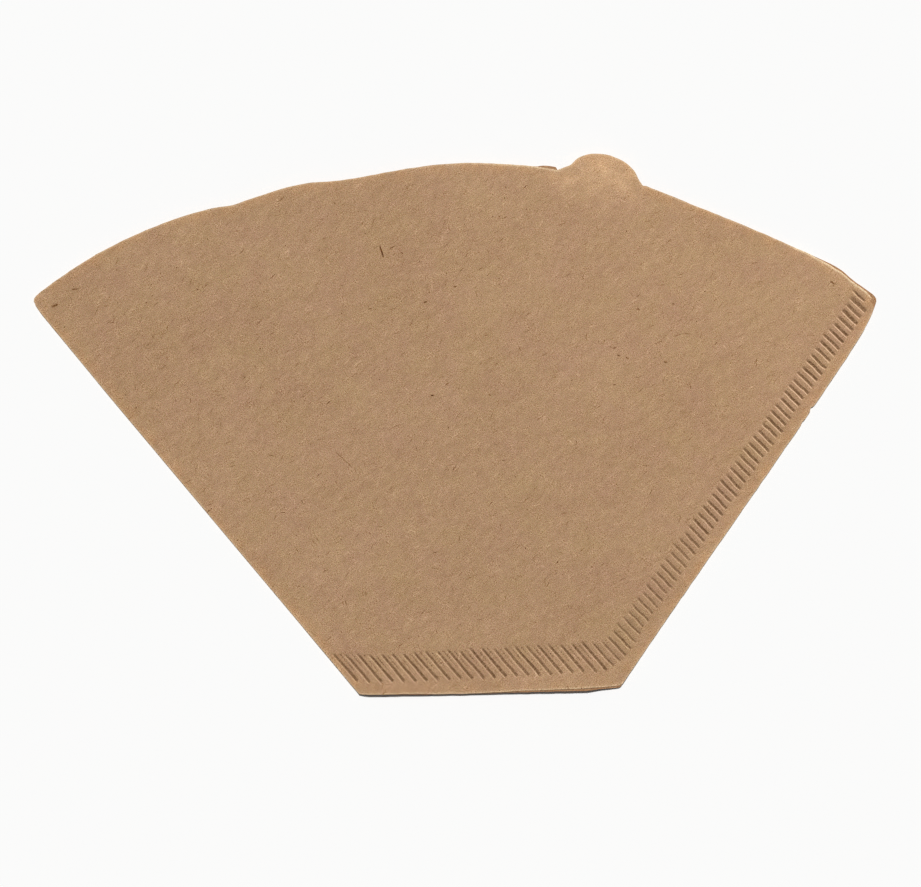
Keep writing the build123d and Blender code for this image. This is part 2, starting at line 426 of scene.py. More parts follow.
# Dark specks and fibres in the front ply: two ends, width and how dark
flecks = (
    (-19.74, 87.99, -19.0, 85.62, 0.2, 1.0),
    (-29.08, 47.73, -25.99, 44.73, 0.14, 0.45),
    (-84.35, 77.25, -83.2, 77.68, 0.28, 0.68),
    (-80.31, 80.57, -79.09, 80.63, 0.16, 0.8),
    (68.5, 79.52, 69.29, 78.89, 0.2, 1.0),
    (30.3, 74.71, 30.98, 74.6, 0.2, 0.9),
    (25.6, 67.04, 26.1, 67.21, 0.2, 0.8),
    (26.4, 65.75, 26.99, 65.54, 0.2, 0.8),
    (28.06, 65.33, 28.65, 64.92, 0.2, 0.7),
    (35.6, 64.21, 36.19, 64.16, 0.2, 0.8),
    (25.51, 59.88, 26.02, 59.95, 0.2, 0.7),
    (37.38, 75.68, 37.77, 75.43, 0.18, 0.7),
    (-5.41, 79.68, -4.82, 79.63, 0.2, 0.8),
    (-22.13, 75.61, -21.62, 75.71, 0.2, 0.7),
    (-11.35, 76.68, -10.76, 76.83, 0.18, 0.7),
    (-15.69, 86.54, -15.18, 86.33, 0.18, 0.7),
    (37.53, 69.14, 39.03, 69.6, 0.13, 0.55),
    (39.25, 69.64, 40.66, 69.65, 0.13, 0.55),
    (33.88, 67.77, 35.38, 68.37, 0.13, 0.6),
    (-17.76, 87.26, -16.62, 88.01, 0.13, 0.6),
    (-10.23, 58.47, -9.64, 58.52, 0.2, 1.0),
    (-7.35, 60.48, -6.76, 60.74, 0.18, 0.6),
    (1.15, 58.52, 1.46, 58.16, 0.18, 0.6),
)

fleckForm = {
    "beyond": 0.12,  # the rows reach past the ends, where the paper is clean
    "station": 0.4,
    "clear": 0.4,  # other points keep this far away
}


def fleckPoints(x, y, endX, endY, width, dark):
    # Rows of points along one dark speck or fibre, with how dark it is there
    start, end = np.array((x, y)), np.array((endX, endY))
    length = np.linalg.norm(end - start)
    beyond = fleckForm["beyond"]
    stations = np.linspace(-beyond, length + beyond, max(4, int(length / fleckForm["station"]) + 2))
    flat = np.zeros(len(stations))
    middle = flat.copy()
    middle[1:-1] = dark
    rows = [(flat - width, flat, flat), (flat, flat, middle), (flat + width, flat, flat)]
    return rowsAlong(start, (end - start) / length, stations, rows)


def rowsTogether(rows):
    # Points, heights, values and edges of many rows as one set
    edges = []
    count = 0
    for points, _, _, rowEdges in rows:
        edges += [(count + a, count + b) for a, b in rowEdges]
        count += len(points)
    points, heights, values = (np.concatenate([row[part] for row in rows]) for part in range(3))
    return points, heights, values, edges


marks = crimpMarks()
bottomMarks = marks[:crimps["bottomCount"]]
crimpRows = [markPoints(*mark) for mark in marks]
crimpRows += [faintPoints(first, second) for first, second in zip(bottomMarks, bottomMarks[1:])]
# the marks' heights, and the pressed paper's darkening with painted shade and painted highlight
crimpPoints, crimpHeights, crimpShading, crimpEdges = rowsTogether(crimpRows)
fleckPlaces, _, fleckDark, fleckEdges = rowsTogether([fleckPoints(*fleck) for fleck in flecks])
print("crimp marks:", len(marks), "points:", len(crimpPoints))


sheetForm = {
    "thickness": 0.19,
    "pressedGap": 0.03,  # between the plies where they are pressed together
    "grid": 1.5,  # between points inside a ply
    "gridShuffle": 0.2,  # share of the grid by which its points stray
    "gridMargin": 0.55,  # and by which they keep off the edge
    "gridClear": (1.0, 0.4),  # clear of a crimp mark, sideways and past its ends
    "rings": (0.15, 0.45),  # rows of points beside a cut edge
    "ringSpacing": 0.12,
    "ringClear": (0.75, 0.12),
    "weld": 1e-5,  # points nearer than this become one
    "foldRows": 150,  # points along the fold
    "foldSteps": 8,  # strips round the fold
    "foldSquash": 0.45,  # how pointed the pressed fold is, 1 is round
    "mouthOpening": 1.6,
    "openingGrowth": 4.0,  # the pocket opens within a quarter of its height
    "growthLimit": 1.1,  # and grows on past the mouth's height by a tenth
    "sideBand": 7.6,  # width pressed together along the seam, and along the bottom edge
    "bottomBand": 9.4,
    "bandRise": 0.14,  # crimping makes the bands stand off the table
    "bandBlend": 6.0,
    "waves": 0.11,  # height of the slack waves in the front ply
    "backWaves": 0.05,
    "waveLength": 38.0,
    "waveCount": 6,
    "waveSpread": (0.7, 1.6),  # of the wave length
    "waveGain": 1.6,
    "waveGrowth": 3.0,
    "frontWaveSeed": 5,
    "backWaveSeed": 3,
    "rimBulge": 0.025,
    "tabDroop": 0.012,  # the tab's fall for each square millimetre past droopFrom
    "droopFrom": 0.5,
    "droopReach": 9.0,
    "edgeRoll": 0.06,  # the front ply's cut edge bends down by this
    "edgeRollWidth": 0.5,
    "mouthZone": (-3.0, 1.5),  # past the mouth's arc, where what is said of its edge starts, and the blend
    "baseCurl": 0.05,  # and up by this along the bottom
    "baseCurlZone": (1.2, 1.0),
    # the bottom edge stands off the table by this, along x
    "baseLift": ((-26, 0.15), (-23, 0.85), (-15, 0.85), (-10, 0.62), (-3, 0.6), (3, 0.8), (9, 0.95),
                 (15, 1.05), (19, 0.95), (23, 0.65), (26, 0.3)),
    "baseLiftReach": 9.0,
}


def clearOfMarks(points, markReach, beyond):
    # Which points lie clear of every crimp mark and fleck
    clear = np.ones(len(points), bool)
    lines = [(mark[0], mark[1], markReach) for mark in marks]
    lines += [(np.array(fleck[:2]), np.array(fleck[2:4]), fleckForm["clear"]) for fleck in flecks]
    for start, end, reach in lines:
        length = np.linalg.norm(end - start)
        way = (end - start) / length
        along = (points - start) @ way
        across = (points - start) @ turned(way)
        clear &= ~((along > -beyond) & (along < length + beyond) & (np.abs(across) < reach))
    return clear


foldInset = (sheetForm["thickness"] + sheetForm["pressedGap"] / 2) * sheetForm["foldSquash"]
foldPlaces = np.linspace(outlineCut["foldStart"], outlineCut["foldLength"], sheetForm["foldRows"])


def gridPoints(loop):
    # Uneven triangular grid inside a ply
    step = sheetForm["grid"]
    low, high = loop.min(axis=0), loop.max(axis=0)
    rows = np.arange(low[1], high[1], step * math.sqrt(0.75))
    points = []
    for number, y in enumerate(rows):
        x = np.arange(low[0] + (number % 2) * step / 2, high[0], step)
        points.append(np.column_stack((x, np.full(len(x), y))))
    points = np.vstack(points)
    shuffle = sheetForm["gridShuffle"]
    points += random.uniform(-shuffle, shuffle, points.shape) * step
    points = points[inside(points, loop)]
    points = points[distanceTo(points, np.vstack((loop, loop[:1]))) > sheetForm["gridMargin"] * step]
    return points[clearOfMarks(points, *sheetForm["gridClear"])]


def thinned(points, spacing):
    # Leaves out points that lie too close to an earlier one
    kept, cells = [], {}
    for number, point in enumerate(points):
        cell = (int(point[0] // spacing), int(point[1] // spacing))
        near = [cells.get((cell[0] + i, cell[1] + j), ()) for i in (-1, 0, 1) for j in (-1, 0, 1)]
        if all(np.linalg.norm(point - points[other]) > spacing for group in near for other in group):
            kept.append(number)
            cells.setdefault(cell, []).append(number)
    return points[kept]


def triangulated(points, edges, loopCount):
    # Triangles that face up within the loop of the first points, and the point behind each vertex
    loop = list(range(loopCount))
    flat = [tuple(point) for point in points]
    vertices, _, polygons, sources, _, _ = delaunay_2d_cdt(flat, edges, [loop], 1, sheetForm["weld"])
    xy = np.array([tuple(vertex) for vertex in vertices])
    source = np.array([group[0] if group else -1 for group in sources])
    faces = np.array([face for face in polygons if len(face) == 3])
    a, b, c = (xy[faces[:, i]] for i in range(3))
    facing = (b[:, 0] - a[:, 0]) * (c[:, 1] - a[:, 1]) - (b[:, 1] - a[:, 1]) * (c[:, 0] - a[:, 0])
    faces = np.where((facing < 0)[:, None], faces[:, ::-1], faces)
    return xy, faces, source


def buildPly(front):
    # One ply, flat: its points, faces, crimp heights, fold line, distance from the cut edge and looks
    foldLine = alongFold(foldPlaces, foldInset)
    cut = plyOutline(front)
    loop = np.vstack((foldLine, cut))
    rings = np.vstack([insetLine(loop, inset) for inset in sheetForm["rings"]])
    rings = thinned(rings[inside(rings, loop)], sheetForm["ringSpacing"])
    rings = rings[clearOfMarks(rings, *sheetForm["ringClear"])]
    grid = gridPoints(loop)
    flecksHere = fleckPlaces if front else fleckPlaces[:0]
    points = np.vstack((loop, crimpPoints, flecksHere, rings, grid))
    crimpStart = len(loop)
    fleckStart = crimpStart + len(crimpPoints)
    edges = [(crimpStart + a, crimpStart + b) for a, b in crimpEdges]
    if front:
        edges += [(fleckStart + a, fleckStart + b) for a, b in fleckEdges]
    xy, faces, source = triangulated(points, edges, len(loop))
    # the last value, 0, is for a vertex with no point behind it
    crimpHeight, pressed, fleck = np.zeros((3, len(points) + 1))
    crimpHeight[crimpStart:fleckStart] = crimpHeights
    pressed[crimpStart:fleckStart] = crimpShading
    if front:
        fleck[fleckStart:fleckStart + len(fleckDark)] = fleckDark
    vertexOf = {int(number): vertex for vertex, number in enumerate(source)}
    foldIndex = np.array([vertexOf[number] for number in range(len(foldLine))])
    cutDistance = distanceTo(xy, np.vstack((foldLine[-1:], cut, foldLine[:1])))
    foldDistance = distanceTo(xy, foldLine)
    looks = plyLooks(xy, cutDistance, foldDistance, front)
    # pressed paper with painted shade in the grooves
    looks["pressed"] = np.maximum(pressed[source], 0)
    # painted highlight on the lit edge of each groove
    looks["ridgeHighlight"] = np.maximum(-pressed[source], 0)
    looks["fleck"] = fleck[source]
    return {"xy": xy, "faces": faces, "crimp": crimpHeight[source], "fold": foldIndex,
            "cut": cutDistance, "looks": looks}


edgeLooks = {
    "bottomZone": (1.2, 0.8),  # over the bottom edge, where its looks end, and the blend
    "edgeWidth": 0.28,
    # how pale the front ply's cut edge is painted along the mouth's arc: paler cut fibres together with a
    # painted highlight
    "creamMouth": ((0, 0.3), (90, 0.3), (96, 0.6), (109, 0.6), (111, 0.3), (156, 0.3), (161, 0.95),
                   (175.9, 0.95), (176.5, 0.1)),
    # pale cut edge with painted highlight along the bottom edge, then along the seam and the fold
    "creamBottom": 0.38,
    "creamSide": 0.3,  # along the seam and the fold
    "warmWidth": 1.6,
    "coolBottom": 0.5,  # less warm along the bottom edge
    # the back ply's strip past the front ply's edge gets painted shade this wide
    "rimWidth": 1.1,
    # the tab painted paler for light passing through its single ply, along the mouth's arc and past it
    "tabAcross": ((107, 0), (112, 1), (124, 1), (129, 0)),
    "tabZone": (-8.0, 12.0),
}


def zone(place, startAndBlend):
    # 0 up to a start and 1 past the blend that follows it
    start, blend = startAndBlend
    return smoothStep((place - start) / blend)


def plyLooks(xy, cutDistance, foldDistance, front):
    # Where the paper looks different, for the material to read: its own colour near the edges, painted
    # highlight on the pale edges, painted shade on the back ply's strip and painted light through the tab
    look = edgeLooks
    run = (arcStart - np.arctan2(xy[:, 1] - arcCentre[1], xy[:, 0] - arcCentre[0])) * arcRadius
    atMouth = zone(pastMouth(xy), sheetForm["mouthZone"])
    atBottom = 1 - zone(xy[:, 1], look["bottomZone"])
    ends = np.maximum(atMouth, atBottom)
    edge = np.exp(-(cutDistance / look["edgeWidth"]) ** 2)
    foldEdge = np.exp(-(foldDistance / look["edgeWidth"]) ** 2)
    # pale cut edges with a painted highlight, also along the fold
    creamAndHighlight = look["creamSide"] * (1 - ends)
    if front:
        creamAndHighlight += atMouth * throughKnots(look["creamMouth"], run)
        creamAndHighlight += look["creamBottom"] * atBottom
    # painted light: the single-ply tab is paler where light passes through it
    tab = zone(pastMouth(xy), look["tabZone"]) * throughKnots(look["tabAcross"], run)
    # painted shade on the back ply's strip past the front ply's edge
    rim = np.exp(-(cutDistance / look["rimWidth"]) ** 4)
    warm = np.exp(-(np.minimum(cutDistance, foldDistance) / look["warmWidth"]) ** 2)
    onFront = 1.0 if front else 0.0
    return {
        "creamEdgeHighlight": np.maximum(edge * creamAndHighlight, foldEdge * look["creamSide"]),
        # painted shade on the back ply's cut edge
        "brownEdgeShade": edge * ends * (1 - onFront),
        "warmEdge": warm * (1 - look["coolBottom"] * atBottom),
        # painted shade on the back ply's strip past the front ply
        "backRimShade": rim * ends * (1 - onFront),
        # painted light through the single-ply tab
        "tab": tab * onFront,
    }


def ripples(xy, seed):
    # Soft waves of about one length, between -1 and 1
    form = sheetForm
    draw = np.random.default_rng(seed)
    total = np.zeros(len(xy))
    for _ in range(form["waveCount"]):
        way = heading(draw.uniform(0, 180))
        wave = form["waveLength"] * draw.uniform(*form["waveSpread"])
        total += np.sin(xy @ way * 2 * math.pi / wave + draw.uniform(0, 2 * math.pi))
    return total / form["waveCount"] * form["waveGain"]


def plyHeight(ply, front):
    # Height of a ply's middle surface over the table
    form = sheetForm
    xy = ply["xy"]
    x, y = xy.T
    fromFoot = xy - seamFoot
    seamDistance = fromFoot @ seamInward - throughKnots(outlineCut["seamInward"], fromFoot @ seamWay)
    sideBand = 1 - smoothStep((seamDistance - form["sideBand"]) / form["bandBlend"])
    bottomBand = 1 - smoothStep((y - form["bottomBand"]) / form["bandBlend"])
    band = 1 - (1 - sideBand) * (1 - bottomBand)
    height = form["thickness"] / 2 + form["bandRise"] * band + ply["crimp"]
    height += throughKnots(form["baseLift"], x) * (1 - smoothStep(y / form["baseLiftReach"]))
    pocketHigh = outlineCut["mouthHeight"] - form["bottomBand"]
    grown = np.clip((y - form["bottomBand"]) / pocketHigh, 0, form["growthLimit"])
    left = foldFoot[0] - y / math.tan(math.radians(outlineCut["foldLean"])) + foldInset
    right = seamFoot[0] + y / math.tan(math.radians(outlineCut["seamLean"]))
    right -= form["sideBand"] / math.sin(math.radians(outlineCut["seamLean"]))
    share = np.clip((x - (left + right) / 2) / ((right - left) / 2), -1, 1)
    dome = (1 - share ** 2) * grown
    if not front:
        return height + form["backWaves"] * dome * (1 + ripples(xy, form["backWaveSeed"]))
    opening = form["mouthOpening"] * dome * smoothStep(grown * form["openingGrowth"])
    height += form["thickness"] + form["pressedGap"] + opening
    waves = form["waves"] * np.sqrt(np.maximum(dome, 0)) * ripples(xy, form["frontWaveSeed"])
    height += waves * smoothStep(grown * form["waveGrowth"])
    past = pastMouth(xy)
    height -= form["tabDroop"] * np.clip(past - form["droopFrom"], 0, form["droopReach"]) ** 2
    roll = np.clip(1 - ply["cut"] / form["edgeRollWidth"], 0, 1) ** 2
    height -= form["edgeRoll"] * roll * zone(past, form["mouthZone"])
    height += form["baseCurl"] * roll * (1 - zone(y, form["baseCurlZone"]))
    return height


def sheetMesh():
    # Front ply, fold and back ply: middle surface, offset to its outer face, faces and looks
    frontPly = buildPly(True)
    backPly = buildPly(False)
    print("plies:", len(frontPly["faces"]), "and", len(backPly["faces"]), "faces")
    half = sheetForm["thickness"] / 2
    frontMid = np.column_stack((frontPly["xy"], plyHeight(frontPly, True)))
    backMid = np.column_stack((backPly["xy"], plyHeight(backPly, False)))
    upper, lower = frontMid[frontPly["fold"]], backMid[backPly["fold"]]
    centre = (upper + lower) / 2
    radius = (upper[:, 2] - lower[:, 2]) / 2
    outward = np.array((-foldInward[0], -foldInward[1], 0.0))
    ringMid, ringOff = [], []
    for turn in np.linspace(0, math.pi, sheetForm["foldSteps"] + 1)[1:-1]:
        radial = outward * math.sin(turn) * sheetForm["foldSquash"] + np.array((0, 0, math.cos(turn)))
        ringMid.append(centre + radius[:, None] * radial)
        ringOff.append(np.tile(radial * half, (len(centre), 1)))
    mid = np.vstack((frontMid, backMid, *ringMid))
    off = np.zeros_like(mid)
    backStart = len(frontMid)
    ringStart = backStart + len(backMid)
    off[:backStart, 2] = half
    off[backStart:ringStart, 2] = -half
    off[ringStart:] = np.vstack(ringOff)
    # Strips round the fold, from the front ply's fold line to the back ply's
    size = len(centre)
    rows = [frontPly["fold"]]
    rows += [ringStart + number * size + np.arange(size) for number in range(len(ringMid))]
    rows += [backPly["fold"] + backStart]
    strips = []
    for a, b in zip(rows, rows[1:]):
        strips.append(np.column_stack((a[:-1], a[1:], b[1:])))
        strips.append(np.column_stack((a[:-1], b[1:], b[:-1])))
    faces = np.vstack((frontPly["faces"], backPly["faces"][:, ::-1] + backStart, *strips))
    looks = {}
    for name, value in frontPly["looks"].items():
        around = np.tile(value[frontPly["fold"]], len(ringMid))
        looks[name] = np.concatenate((value, backPly["looks"][name], around))
    return mid, off, faces, looks


def closedSheet(mid, off, faces, values):
    # Outer and inner shell and the rounded rim between them
    # The rim runs along the edges that have a face on one side only
    count = len(mid)
    pairs = np.vstack((faces[:, (0, 1)], faces[:, (1, 2)], faces[:, (2, 0)]))
    keys = pairs[:, 0].astype(np.int64) * count + pairs[:, 1]
    back = pairs[:, 1].astype(np.int64) * count + pairs[:, 0]
    border = pairs[~np.isin(keys, back)]
    following = {int(a): int(b) for a, b in border}
    start = int(border[0, 0])
    loop = [start]
    while following[loop[-1]] != start:
        loop.append(following[loop[-1]])
    loop = np.array(loop)
    print("rim points:", len(loop), "of", len(border))
    way = np.roll(mid[loop], -1, axis=0) - np.roll(mid[loop], 1, axis=0)
    outward = np.cross(way, off[loop])
    outward /= lengths(outward)[:, None]
    rimMid = mid[loop] + outward * sheetForm["rimBulge"]
    points = np.vstack((mid + off, mid - off, rimMid))
    rim = 2 * count + np.arange(len(loop))
    nextLoop, nextRim = np.roll(loop, -1), np.roll(rim, -1)
    rimFaces = np.vstack((
        np.column_stack((nextLoop, loop, rim)),
        np.column_stack((nextLoop, rim, nextRim)),
        np.column_stack((nextRim, rim, loop + count)),
        np.column_stack((nextRim, loop + count, nextLoop + count)),
    ))
    allFaces = np.vstack((faces, faces[:, ::-1] + count, rimFaces))
    spread = {name: np.concatenate((value, value, value[loop])) for name, value in values.items()}
    creases = {tuple(sorted((int(a), int(b)))) for a, b in zip(loop, nextLoop)}
    creases |= {(a + count, b + count) for a, b in creases}
    return points, allFaces, spread, creases


def bottomMiddle():
    # Middle of the bottom edge in the frame, read from the CAD node
    cadSlack = 0.02
    corners = np.array([vertex.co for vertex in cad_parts["paper_filter"].data.vertices]) / mm
    low = corners[:, 1].min()
    foot = corners[corners[:, 1] < low + cadSlack]
    return np.array(((foot[:, 0].min() + foot[:, 0].max()) / 2, low, 0.0))


def placed(name, data):
    made = bpy.data.objects.new(name, data)
    bpy.context.scene.collection.objects.link(made)
    return made


origin = bottomMiddle()
points, faces, values, creases = closedSheet(*sheetMesh())
mesh = bpy.data.meshes.new("filterSheet")
mesh.from_pydata(((points + origin) * mm).tolist(), [], faces.tolist())
mesh.update()
for name, value in values.items():
    attributeData = mesh.attributes.new(name, "FLOAT", "POINT").data
    attributeData.foreach_set("value", value.astype(np.float32))
mesh.shade_smooth()
sharp = mesh.attributes.get("sharp_edge") or mesh.attributes.new("sharp_edge", "BOOLEAN", "EDGE")
sharp.data.foreach_set("value", [tuple(sorted(edge.vertices)) in creases for edge in mesh.edges])
sheet = placed("filter_sheet", mesh)
print("sheet:", len(mesh.vertices), "vertices", len(mesh.polygons), "triangles")


paperLook = {
    "yellow": (0.450, 0.283, 0.149, 1),
    "pink": (0.444, 0.263, 0.156, 1),
    "patch": 9.0,  # width of the yellowish and pinkish patches
    "patchDetail": 5.0,
    "patchFine": 0.75,  # how strong the finer patches are
    "patchContrast": 2.4,
    "channels": (1.0, 1.23, 1.56),  # a tone's share in red, green and blue
    "speckle": (0.3, 0.2, 0.16),  # length, width and strength of the coloured speckle
    "fibreWay": 38.0,  # most fibres lie this way, from the bottom edge's line
    # length, width, turn from fibreWay, detail, strength
    "tones": ((26.0, 18.0, 0, 1, 0.10), (6.0, 1.6, 0, 1, 0.15), (2.2, 0.7, 5, 1, 0.14),
              (1.3, 0.24, 0, 0, 0.18), (1.2, 0.24, -78, 0, 0.11), (0.3, 0.16, 0, 0, 0.26),
              (0.13, 0.13, 0, 0, 1.3)),
    "reliefFrom": 1.0,  # tones shorter than this also roughen the surface
    # length, width, turn from fibreWay, share of the cells that hold a fibre, strength
    "darkFibres": ((2.0, 0.16, 2, 0.48, 0.66), (2.2, 0.15, 26, 0.3, 0.62), (1.8, 0.15, -30, 0.3, 0.62),
                   (1.4, 0.15, 78, 0.24, 0.58), (0.4, 0.22, 45, 0.15, 0.9)),
    "paleFibres": ((2.1, 0.18, -4, 0.48, 0.5), (1.9, 0.17, 34, 0.36, 0.46), (1.6, 0.17, -70, 0.36, 0.46)),
    "cell": 5.0,  # fibre lengths and widths from fibre to fibre
    "fibreEdge": (0.5, 0.12),  # where a fibre begins and is full, in its length and width
    "fibreSpread": 2.0,  # how much weaker most fibres are than the strongest
    "layerShift": 3.7,  # between the layers' patterns
    "fibreShift": 11.3,
    "paleShift": 50.0,
    "speckleShift": 7.0,
    "shiftAcross": 0.7,  # share of a shift that also goes across
    "bendSize": 3.0,  # fibres bend over this distance
    "bend": 1.2,
    "bendDetail": 1.0,
    # uneven along an edge: scale, detail, and the gain and shift of what shows
    "uneven": (0.35, 2.0),
    "someUneven": (1.8, -0.5),
    "mostUneven": (1.6, -0.2),
    "mottle": (2.2, 1.0),
    "pressedUneven": (1.6, 0.1),
    # how much of the back strip's painted shade shows
    "rimShadeShare": 0.85,
    # colour of the pressed paper in the grooves, made darker as painted shade
    "pressed": (0.162, 0.086, 0.039, 1),
    # painted highlight on the crimps' lit edges
    "ridgeHighlightStrength": 0.52,
    "fleckShade": 1.0,
    # paler cut fibres with a painted highlight along the cut edges and the fold
    "creamEdgeHighlight": (0.86, 0.66, 0.42, 1),
    # painted shade on the back ply's cut edge past the front ply
    "brownEdgeShade": (0.40, 0.205, 0.095, 1),
    "warmEdge": (0.51, 0.285, 0.138, 1),
    # painted shade on the back ply's strip past the front ply
    "backRimShade": (0.36, 0.205, 0.108, 1),
    # the single-ply tab painted paler for light passing through it
    "tab": (0.65, 0.408, 0.228, 1),
    # the paper grows lighter this way: from and to in millimetres, and its share of light there
    "lightWay": 40.0,
    "lightReach": (10.0, 110.0),
    "lightShare": (0.99, 1.1),
    "relief": 0.06,
    "roughness": 0.92,
    "shine": 0.15,
}


def setSockets(made, values):
    for socket, value in values.items():
        made.inputs[socket].default_value = value


def node(tree, kind, values=None, links=None, **settings):
    made = tree.nodes.new(kind)
    for name, value in settings.items():
        setattr(made, name, value)
    setSockets(made, values or {})
    for socket, source in (links or {}).items():
        tree.links.new(source, made.inputs[socket])
    return made


def feed(tree, socket, term):
    # A socket gets a value or a link
    if isinstance(term, (int, float, tuple)):
        socket.default_value = term
    else:
        tree.links.new(term, socket)


def maths(tree, operation, *terms, clamp=False):
    made = node(tree, "ShaderNodeMath", operation=operation, use_clamp=clamp)
    for socket, term in zip(made.inputs, terms):
        feed(tree, socket, term)
    return made.outputs["Value"]


def vectorMaths(tree, operation, links, values=None, output="Vector"):
    return node(tree, "ShaderNodeVectorMath", values, links, operation=operation).outputs[output]


def blended(tree, share, first, second):
    # Colours mixed, through the Mix node's factor and colour sockets
    made = node(tree, "ShaderNodeMix", data_type="RGBA")
    for number, term in ((0, share), (6, first), (7, second)):
        feed(tree, made.inputs[number], term)
    return made.outputs[2]


def stretched(tree, place, length, width, turn, shift):
    # Coordinates in which one unit is a fibre's length and width
    values = {"Location": (shift, shift * paperLook["shiftAcross"], 0),
              "Rotation": (0, 0, math.radians(turn)), "Scale": (length, width, 1)}
    made = node(tree, "ShaderNodeMapping", values, {"Vector": place}, vector_type="TEXTURE")
    return made.outputs["Vector"]


def noise(tree, place, scale, detail, fine=0.5):
    values = {"Scale": scale, "Detail": detail, "Roughness": fine}
    return node(tree, "ShaderNodeTexNoise", values, {"Vector": place}, noise_dimensions="2D").outputs


def toneLayer(tree, place, length, width, turn, detail, strength, shift):
    vector = stretched(tree, place, length, width, paperLook["fibreWay"] + turn, shift)
    centred = maths(tree, "SUBTRACT", noise(tree, vector, 1.0, detail)["Fac"], 0.5)
    return maths(tree, "MULTIPLY", centred, strength)


def smoothRange(tree, value, low, high, start=0.0, end=1.0):
    values = {"From Min": low, "From Max": high, "To Min": start, "To Max": end}
    made = node(tree, "ShaderNodeMapRange", values, {"Value": value}, interpolation_type="SMOOTHSTEP")
    return made.outputs["Result"]


def fibreLayer(tree, place, length, width, turn, share, strength, shift):
    # Scattered single fibres: one in some of the cells, each with its own strength
    cell = paperLook["cell"]
    outer, full = paperLook["fibreEdge"]
    vector = stretched(tree, place, length * cell, width * cell, paperLook["fibreWay"] + turn, shift)
    cells = node(tree, "ShaderNodeTexVoronoi", {"Scale": 1.0}, {"Vector": vector}, voronoi_dimensions="2D")
    near = smoothRange(tree, cells.outputs["Distance"], outer / cell, full / cell)
    picks = node(tree, "ShaderNodeSeparateColor", links={"Color": cells.outputs["Color"]})
    chosen = maths(tree, "LESS_THAN", picks.outputs["Red"], share)
    spread = maths(tree, "POWER", picks.outputs["Green"], paperLook["fibreSpread"])
    power = maths(tree, "MULTIPLY", spread, strength)
    return maths(tree, "MULTIPLY", maths(tree, "MULTIPLY", near, chosen), power)


def attribute(tree, name, share):
    # What the mesh says of a place, times how much of it shows
    value = node(tree, "ShaderNodeAttribute", attribute_name=name).outputs["Fac"]
    return maths(tree, "MULTIPLY", value, share)


def levels(tree, value, gainAndShift):
    return maths(tree, "MULTIPLY_ADD", value, *gainAndShift, clamp=True)


def centredColour(tree, place, scale, detail=0.0):
    # Noise in three channels about zero
    colour = noise(tree, place, scale, detail)["Color"]
    return vectorMaths(tree, "SUBTRACT", {0: colour}, {1: (0.5, 0.5, 0.5)})


def paperTone(tree, place):
    # Light and dark of the pulp about zero, and the part of it that also roughens the surface
    look = paperLook
    bends = centredColour(tree, place, 1 / look["bendSize"], look["bendDetail"])
    bent = vectorMaths(tree, "MULTIPLY_ADD", {0: bends, 2: place}, {1: (look["bend"],) * 3})
    tone = 0.0
    relief = 0.0
    for number, (length, width, turn, detail, strength) in enumerate(look["tones"]):
        layer = toneLayer(tree, bent, length, width, turn, detail, strength, look["layerShift"] * number)
        tone = maths(tree, "ADD", layer, tone)
        if length < look["reliefFrom"]:
            relief = maths(tree, "ADD", layer, relief)
    for number, fibre in enumerate(look["darkFibres"]):
        shift = look["fibreShift"] * number
        tone = maths(tree, "SUBTRACT", tone, fibreLayer(tree, bent, *fibre, shift))
    for number, fibre in enumerate(look["paleFibres"]):
        shift = look["paleShift"] + look["fibreShift"] * number
        tone = maths(tree, "ADD", tone, fibreLayer(tree, bent, *fibre, shift))
    return tone, relief


def sideLight(tree, place):
    # Share of light on the paper, growing towards the mouth's right end
    way = heading(paperLook["lightWay"])
    run = vectorMaths(tree, "DOT_PRODUCT", {0: place}, {1: (way[0], way[1], 0)}, "Value")
    low, high = (reach + way @ origin[:2] for reach in paperLook["lightReach"])
    return smoothRange(tree, run, low, high, *paperLook["lightShare"])


